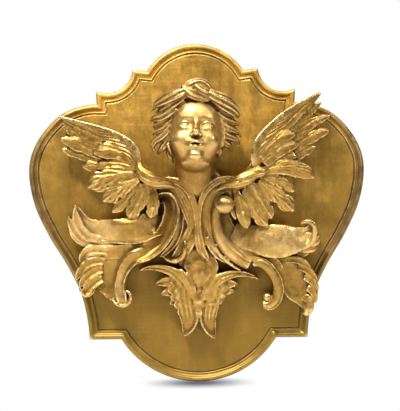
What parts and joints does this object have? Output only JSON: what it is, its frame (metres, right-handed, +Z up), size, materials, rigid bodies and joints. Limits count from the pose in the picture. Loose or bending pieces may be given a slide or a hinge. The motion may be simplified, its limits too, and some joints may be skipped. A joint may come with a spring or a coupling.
{
  "type": "cherub wall plaque",
  "caption": "Gilded carved-wood wall plaque: a winged cherub head over paired scrolls and acanthus leaves, laid on a shaped board with a moulded rim.",
  "frame": {"origin": "middle of the board on its flat back face, where the plaque rests on the wall", "axes": "+X to the viewer's right, +Z up as hung, +Y into the wall; the carved front faces -Y"},
  "size_m": [0.6, 0.1545, 0.6046],
  "materials": {
    "panel": "gilded and toned front over a woven ground, plain brown wood behind",
    "cherub": "water-gilded, burnished and rubbed, dark patina in the hollows"
  },
  "bodies": {
    "root": {"panel": "panel", "cherub": "cherub"}
  },
  "joints": []
}
